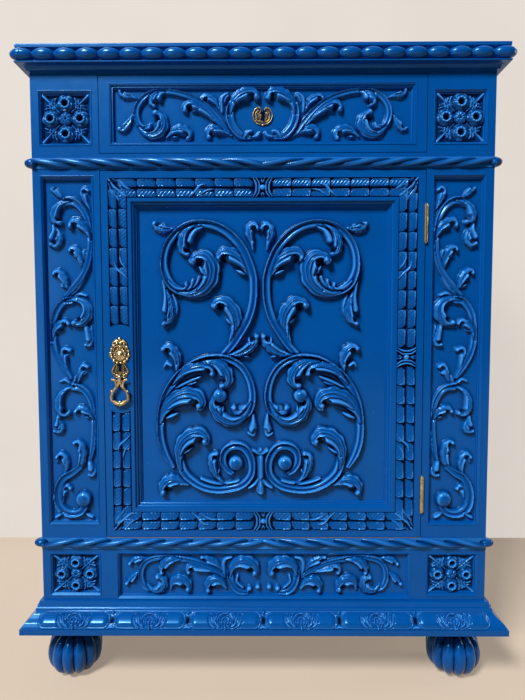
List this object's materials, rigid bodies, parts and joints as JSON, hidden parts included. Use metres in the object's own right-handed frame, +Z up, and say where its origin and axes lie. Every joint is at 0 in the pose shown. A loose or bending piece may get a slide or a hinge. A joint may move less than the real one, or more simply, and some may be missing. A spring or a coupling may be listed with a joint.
{
  "type": "cabinet",
  "caption": "Floor-standing carved wooden cabinet with a drawer above a hinged panelled door, rope and bead mouldings, carved pilasters and ball feet.",
  "frame": {"origin": "centre of the overall footprint, on the floor under the feet", "axes": "+Z up, the front faces -Y, +X to the right seen from the front"},
  "size_m": [0.682, 0.42, 0.891],
  "materials": {
    "blue_paint": "satin gloss paint",
    "plain_wood": "bare",
    "antique_brass": "aged",
    "lock_iron": "dull"
  },
  "bodies": {
    "carcass": {"back_panel": "plain_wood", "base_board": "plain_wood", "base_front": "blue_paint", "base_left": "blue_paint", "base_right": "blue_paint", "bottom_board": "plain_wood", "cornice_front": "blue_paint", "cornice_left": "blue_paint", "cornice_right": "blue_paint", "divider_rail": "blue_paint", "drawer_kickers": "plain_wood", "drawer_top_rail": "blue_paint", "frieze_carving": "blue_paint", "frieze_panel": "blue_paint", "front_left_foot": "blue_paint", "front_right_foot": "blue_paint", "hinge_fixed_leaves": "antique_brass", "hinge_pins": "antique_brass", "left_drawer_runner": "plain_wood", "left_pilaster": "blue_paint", "left_pilaster_carving": "blue_paint", "left_side_frame": "blue_paint", "left_side_panel": "blue_paint", "lower_rope_front": "blue_paint", "lower_rosettes": "blue_paint", "rear_left_foot": "blue_paint", "rear_right_foot": "blue_paint", "right_drawer_runner": "plain_wood", "right_pilaster": "blue_paint", "right_pilaster_carving": "blue_paint", "right_side_frame": "blue_paint", "right_side_panel": "blue_paint", "rope_returns": "blue_paint", "shelf": "plain_wood", "shelf_cleats": "plain_wood", "top_board": "blue_paint", "upper_rope_front": "blue_paint", "upper_rosettes": "blue_paint"},
    "door": {"door_left_stile": "blue_paint", "door_right_stile": "blue_paint", "door_top_rail": "blue_paint", "door_bottom_rail": "blue_paint", "door_panel": "blue_paint", "door_panel_moulding": "blue_paint", "door_band": "blue_paint", "door_panel_carving": "blue_paint", "door_escutcheon": "antique_brass", "door_lock_case": "lock_iron", "hinge_door_leaves": "antique_brass"},
    "drawer": {"drawer_front": "blue_paint", "drawer_front_carving": "blue_paint", "drawer_left_side": "plain_wood", "drawer_right_side": "plain_wood", "drawer_back": "plain_wood", "drawer_bottom": "plain_wood", "drawer_escutcheon": "antique_brass", "drawer_lock_case": "lock_iron"},
    "pull": {"drop_pull": "antique_brass"},
    "door_lock_bolt": {"door_bolt": "lock_iron"},
    "drawer_lock_bolt": {"drawer_bolt": "lock_iron"}
  },
  "joints": [
    {"name": "door_hinge", "type": "hinge", "parent": "carcass", "child": "door", "pos_m": [0.22335, -0.1872, 0.4], "axis": [0, 0, 1], "range_deg": [0, 160]},
    {"name": "drawer_slide", "type": "slide", "parent": "carcass", "child": "drawer", "axis": [0, -1, 0], "range_m": [0, 0.26]},
    {"name": "pull_swing", "type": "hinge", "parent": "door", "child": "pull", "pos_m": [-0.1998, -0.1903, 0.446], "axis": [-1, 0, 0], "range_deg": [0, 85]},
    {"name": "door_bolt_slide", "type": "slide", "parent": "door", "child": "door_lock_bolt", "axis": [-1, 0, 0], "range_m": [0, 0.008]},
    {"name": "drawer_bolt_slide", "type": "slide", "parent": "drawer", "child": "drawer_lock_bolt", "axis": [0, 0, 1], "range_m": [0, 0.006]}
  ]
}
